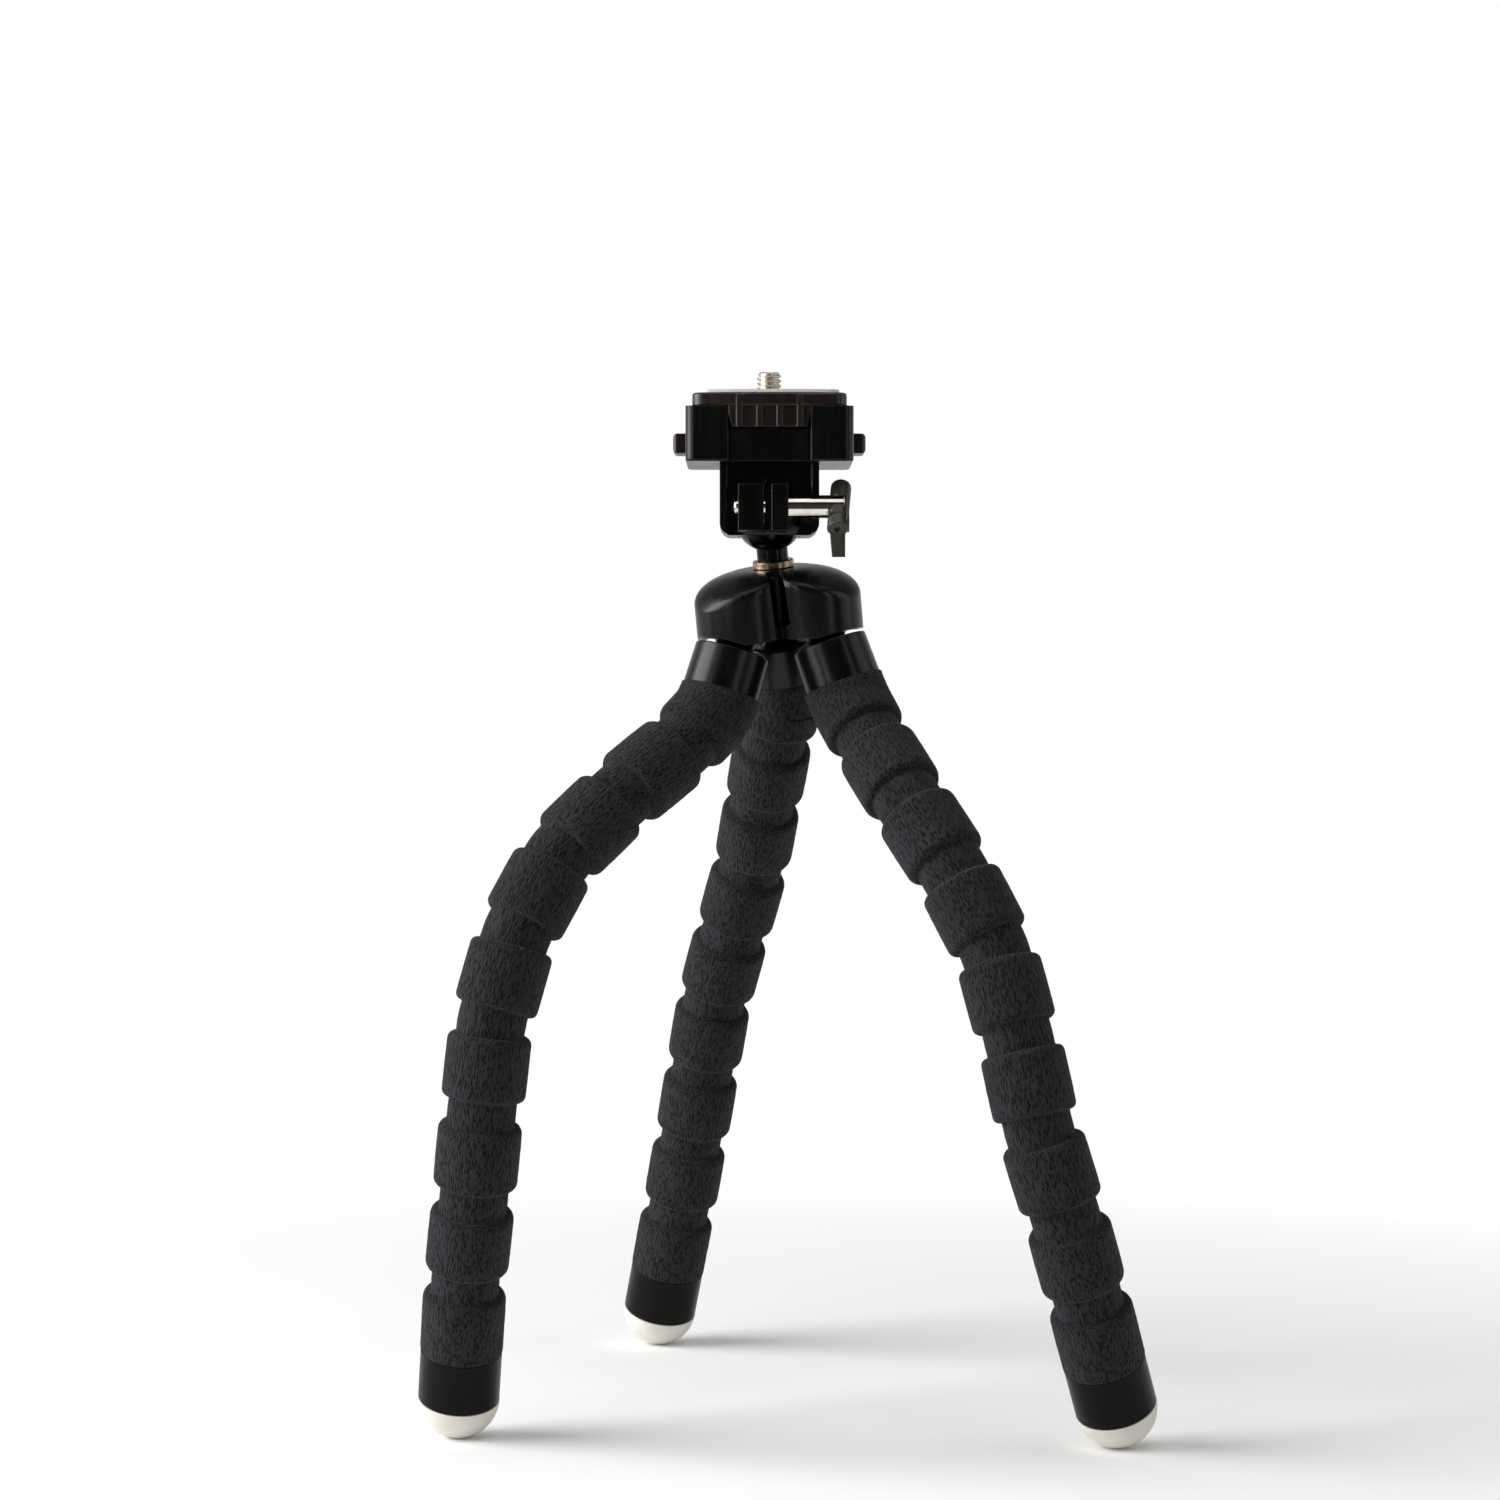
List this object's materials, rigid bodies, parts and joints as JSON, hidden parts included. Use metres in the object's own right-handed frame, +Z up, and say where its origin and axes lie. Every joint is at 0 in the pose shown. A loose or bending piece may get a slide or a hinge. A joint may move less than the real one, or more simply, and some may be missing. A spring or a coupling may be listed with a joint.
{
  "type": "flexible leg tripod",
  "caption": "Small tripod with bendable segmented foam legs, a domed hub and a lockable ball head with a quick release plate.",
  "frame": {"origin": "on the floor plane under the middle of the outline seen from above, with all three feet standing on Z = 0", "axes": "+Z up, +X to the right in the picture, +Y away from the viewer towards the back leg"},
  "size_m": [0.187, 0.1894, 0.2727],
  "materials": {
    "foam": "matte",
    "hub_plastic": "gloss",
    "gloss_black": "gloss",
    "plate_plastic": "satin",
    "liner": "matte",
    "pad_rubber": "matte",
    "foot_rubber": "matte",
    "core_wire": "satin",
    "steel": "satin",
    "stud_metal": "polished",
    "chrome": "polished",
    "brass": "polished",
    "lever": "satin"
  },
  "bodies": {
    "hub": {"hub_shell": "hub_plastic", "hub_base": "hub_plastic", "hub_screws": "steel", "core_ferrules": "steel", "left_core_wire": "core_wire", "right_core_wire": "core_wire", "back_core_wire": "core_wire", "stud_washer": "brass"},
    "ball_stud": {"ball_stud": "stud_metal", "stud_nut": "steel"},
    "ball_liner": {"ball_liner": "liner"},
    "head": {"ball_socket": "hub_plastic", "clamp_body": "hub_plastic", "clamp_deck": "hub_plastic", "clamp_screws": "steel", "quick_release_plate": "plate_plastic", "plate_pad": "pad_rubber", "latch_springs": "steel"},
    "lock_lever": {"lock_lever": "lever", "lock_screw": "chrome"},
    "left_button": {"left_button": "plate_plastic"},
    "right_button": {"right_button": "plate_plastic"},
    "camera_screw": {"camera_screw": "steel", "retaining_ring": "steel"},
    "left_leg_1": {"left_foam_1": "foam", "left_collar": "hub_plastic"},
    "left_leg_2": {"left_foam_2": "foam"},
    "left_leg_3": {"left_foam_3": "foam"},
    "left_leg_4": {"left_foam_4": "foam"},
    "left_leg_5": {"left_foam_5": "foam"},
    "left_leg_6": {"left_foam_6": "foam"},
    "left_leg_7": {"left_foam_7": "foam"},
    "left_leg_8": {"left_foam_8": "foam"},
    "left_leg_9": {"left_foam_9": "foam", "left_end_cap": "gloss_black", "left_foot": "foot_rubber"},
    "right_leg_1": {"right_foam_1": "foam", "right_collar": "hub_plastic"},
    "right_leg_2": {"right_foam_2": "foam"},
    "right_leg_3": {"right_foam_3": "foam"},
    "right_leg_4": {"right_foam_4": "foam"},
    "right_leg_5": {"right_foam_5": "foam"},
    "right_leg_6": {"right_foam_6": "foam"},
    "right_leg_7": {"right_foam_7": "foam"},
    "right_leg_8": {"right_foam_8": "foam"},
    "right_leg_9": {"right_foam_9": "foam", "right_end_cap": "gloss_black", "right_foot": "foot_rubber"},
    "back_leg_1": {"back_foam_1": "foam", "back_collar": "hub_plastic"},
    "back_leg_2": {"back_foam_2": "foam"},
    "back_leg_3": {"back_foam_3": "foam"},
    "back_leg_4": {"back_foam_4": "foam"},
    "back_leg_5": {"back_foam_5": "foam"},
    "back_leg_6": {"back_foam_6": "foam"},
    "back_leg_7": {"back_foam_7": "foam"},
    "back_leg_8": {"back_foam_8": "foam"},
    "back_leg_9": {"back_foam_9": "foam", "back_end_cap": "gloss_black", "back_foot": "foot_rubber"}
  },
  "joints": [
    {"name": "head_pan", "type": "hinge", "parent": "hub", "child": "ball_stud", "pos_m": [-0.00392, -0.03253, 0.23551], "axis": [-0.0861, -0.1564, 0.9839], "continuous": true},
    {"name": "head_tilt", "type": "hinge", "parent": "ball_stud", "child": "ball_liner", "pos_m": [-0.00392, -0.03253, 0.23551], "axis": [1, 0, 0], "range_deg": [-11, 24]},
    {"name": "head_roll", "type": "hinge", "parent": "ball_liner", "child": "head", "pos_m": [-0.00392, -0.03253, 0.23551], "axis": [0, 1, 0], "range_deg": [-25, 15]},
    {"name": "lock_lever_turn", "type": "hinge", "parent": "head", "child": "lock_lever", "pos_m": [-0.00392, -0.04773, 0.23731], "axis": [1, 0, 0], "range_deg": [0, 110]},
    {"name": "left_button_press", "type": "slide", "parent": "head", "child": "left_button", "axis": [1, 0, 0], "range_m": [0, 0.0025], "stiffness_N_per_m": 400, "springref_m": -0.002, "deforming": ["latch_springs"]},
    {"name": "right_button_press", "type": "slide", "parent": "head", "child": "right_button", "axis": [-1, 0, 0], "range_m": [0, 0.0025], "stiffness_N_per_m": 400, "springref_m": -0.002, "deforming": ["latch_springs"]},
    {"name": "camera_screw_turn", "type": "hinge", "parent": "head", "child": "camera_screw", "pos_m": [-0.00392, -0.03253, 0.26621], "axis": [0, 0, 1], "continuous": true},
    {"name": "left_leg_swivel", "type": "hinge", "parent": "hub", "child": "left_leg_1", "pos_m": [-0.01197, -0.03487, 0.20526], "axis": [-0.4384, 0.8988, 0], "range_deg": [-5, 5], "deforming": ["left_core_wire"]},
    {"name": "left_leg_bend_1", "type": "hinge", "parent": "left_leg_1", "child": "left_leg_2", "pos_m": [-0.02613, -0.04549, 0.17646], "axis": [-0.5592, 0.829, 0], "range_deg": [-12, 12], "deforming": ["left_core_wire"]},
    {"name": "left_leg_bend_2", "type": "hinge", "parent": "left_leg_2", "child": "left_leg_3", "pos_m": [-0.04173, -0.05602, 0.16376], "axis": [0.5567, 0.3214, -0.766], "range_deg": [-12, 12], "deforming": ["left_core_wire"]},
    {"name": "left_leg_bend_3", "type": "hinge", "parent": "left_leg_3", "child": "left_leg_4", "pos_m": [-0.05679, -0.06471, 0.14917], "axis": [0.515, -0.8572, 0], "range_deg": [-12, 12], "deforming": ["left_core_wire"]},
    {"name": "left_leg_bend_4", "type": "hinge", "parent": "left_leg_4", "child": "left_leg_5", "pos_m": [-0.0671, -0.07091, 0.12992], "axis": [-0.8736, -0.389, 0.2924], "range_deg": [-12, 12], "deforming": ["left_core_wire"]},
    {"name": "left_leg_bend_5", "type": "hinge", "parent": "left_leg_5", "child": "left_leg_6", "pos_m": [-0.07317, -0.07361, 0.10821], "axis": [0.3907, 0.9205, 0], "range_deg": [-12, 12], "deforming": ["left_core_wire"]},
    {"name": "left_leg_bend_6", "type": "hinge", "parent": "left_leg_6", "child": "left_leg_7", "pos_m": [-0.07571, -0.07253, 0.08568], "axis": [0.4424, -0.8682, -0.225], "range_deg": [-12, 12], "deforming": ["left_core_wire"]},
    {"name": "left_leg_bend_7", "type": "hinge", "parent": "left_leg_7", "child": "left_leg_8", "pos_m": [-0.07803, -0.06798, 0.06356], "axis": [-0.9272, -0.3746, 0], "range_deg": [-12, 12], "deforming": ["left_core_wire"]},
    {"name": "left_leg_bend_8", "type": "hinge", "parent": "left_leg_8", "child": "left_leg_9", "pos_m": [-0.08066, -0.06147, 0.04197], "axis": [-0.2301, 0.9228, 0.309], "range_deg": [-12, 12], "deforming": ["left_core_wire"]},
    {"name": "right_leg_swivel", "type": "hinge", "parent": "hub", "child": "right_leg_1", "pos_m": [0.0099, -0.03373, 0.20736], "axis": [-0.2924, -0.9563, 0], "range_deg": [-5, 5], "deforming": ["right_core_wire"]},
    {"name": "right_leg_bend_1", "type": "hinge", "parent": "right_leg_1", "child": "right_leg_2", "pos_m": [0.02222, -0.04427, 0.17728], "axis": [-0.848, -0.5299, 0], "range_deg": [-12, 12], "deforming": ["right_core_wire"]},
    {"name": "right_leg_bend_2", "type": "hinge", "parent": "right_leg_2", "child": "right_leg_3", "pos_m": [0.03121, -0.05866, 0.1622], "axis": [-0.5255, 0.5255, -0.6691], "range_deg": [-12, 12], "deforming": ["right_core_wire"]},
    {"name": "right_leg_bend_3", "type": "hinge", "parent": "right_leg_3", "child": "right_leg_4", "pos_m": [0.04195, -0.0694, 0.14533], "axis": [0.5736, 0.8192, 0], "range_deg": [-12, 12], "deforming": ["right_core_wire"]},
    {"name": "right_leg_bend_4", "type": "hinge", "parent": "right_leg_4", "child": "right_leg_5", "pos_m": [0.0518, -0.0763, 0.12608], "axis": [0.6645, -0.6645, 0.342], "range_deg": [-12, 12], "deforming": ["right_core_wire"]},
    {"name": "right_leg_bend_5", "type": "hinge", "parent": "right_leg_5", "child": "right_leg_6", "pos_m": [0.05729, -0.08179, 0.10475], "axis": [-0.515, -0.8572, 0], "range_deg": [-12, 12], "deforming": ["right_core_wire"]},
    {"name": "right_leg_bend_6", "type": "hinge", "parent": "right_leg_6", "child": "right_leg_7", "pos_m": [0.062, -0.08461, 0.08272], "axis": [-0.9142, -0.2621, -0.309], "range_deg": [-12, 12], "deforming": ["right_core_wire"]},
    {"name": "right_leg_bend_7", "type": "hinge", "parent": "right_leg_7", "child": "right_leg_8", "pos_m": [0.06874, -0.08268, 0.06114], "axis": [-0.7314, 0.682, 0], "range_deg": [-12, 12], "deforming": ["right_core_wire"]},
    {"name": "right_leg_bend_8", "type": "hinge", "parent": "right_leg_8", "child": "right_leg_9", "pos_m": [0.07479, -0.07619, 0.04024], "axis": [0.5155, 0.7362, 0.4384], "range_deg": [-12, 12], "deforming": ["right_core_wire"]},
    {"name": "back_leg_swivel", "type": "hinge", "parent": "hub", "child": "back_leg_1", "pos_m": [-0.00229, -0.01551, 0.20919], "axis": [0.9511, -0.309, 0], "range_deg": [-5, 5], "deforming": ["back_core_wire"]},
    {"name": "back_leg_bend_1", "type": "hinge", "parent": "back_leg_1", "child": "back_leg_2", "pos_m": [-0.00236, 0.00059, 0.17827], "axis": [0.9781, 0.2079, 0], "range_deg": [-12, 12], "deforming": ["back_core_wire"]},
    {"name": "back_leg_bend_2", "type": "hinge", "parent": "back_leg_2", "child": "back_leg_3", "pos_m": [-0.00539, 0.01485, 0.16087], "axis": [0.1797, -0.7782, -0.6018], "range_deg": [-12, 12], "deforming": ["back_core_wire"]},
    {"name": "back_leg_bend_3", "type": "hinge", "parent": "back_leg_3", "child": "back_leg_4", "pos_m": [-0.00846, 0.02816, 0.14275], "axis": [-0.8988, -0.4384, 0], "range_deg": [-12, 12], "deforming": ["back_core_wire"]},
    {"name": "back_leg_bend_4", "type": "hinge", "parent": "back_leg_4", "child": "back_leg_5", "pos_m": [-0.01374, 0.03898, 0.12349], "axis": [-0.3758, 0.7704, 0.515], "range_deg": [-12, 12], "deforming": ["back_core_wire"]},
    {"name": "back_leg_bend_5", "type": "hinge", "parent": "back_leg_5", "child": "back_leg_6", "pos_m": [-0.01886, 0.04948, 0.10404], "axis": [0.9397, 0.342, 0], "range_deg": [-12, 12], "deforming": ["back_core_wire"]},
    {"name": "back_leg_bend_6", "type": "hinge", "parent": "back_leg_6", "child": "back_leg_7", "pos_m": [-0.02227, 0.05883, 0.08363], "axis": [0.3771, -0.847, -0.3746], "range_deg": [-12, 12], "deforming": ["back_core_wire"]},
    {"name": "back_leg_bend_7", "type": "hinge", "parent": "back_leg_7", "child": "back_leg_8", "pos_m": [-0.02573, 0.0666, 0.06259], "axis": [-0.891, -0.454, 0], "range_deg": [-12, 12], "deforming": ["back_core_wire"]},
    {"name": "back_leg_bend_8", "type": "hinge", "parent": "back_leg_8", "child": "back_leg_9", "pos_m": [-0.02942, 0.07385, 0.0414], "axis": [-0.4526, 0.8165, 0.3584], "range_deg": [-12, 12], "deforming": ["back_core_wire"]}
  ]
}
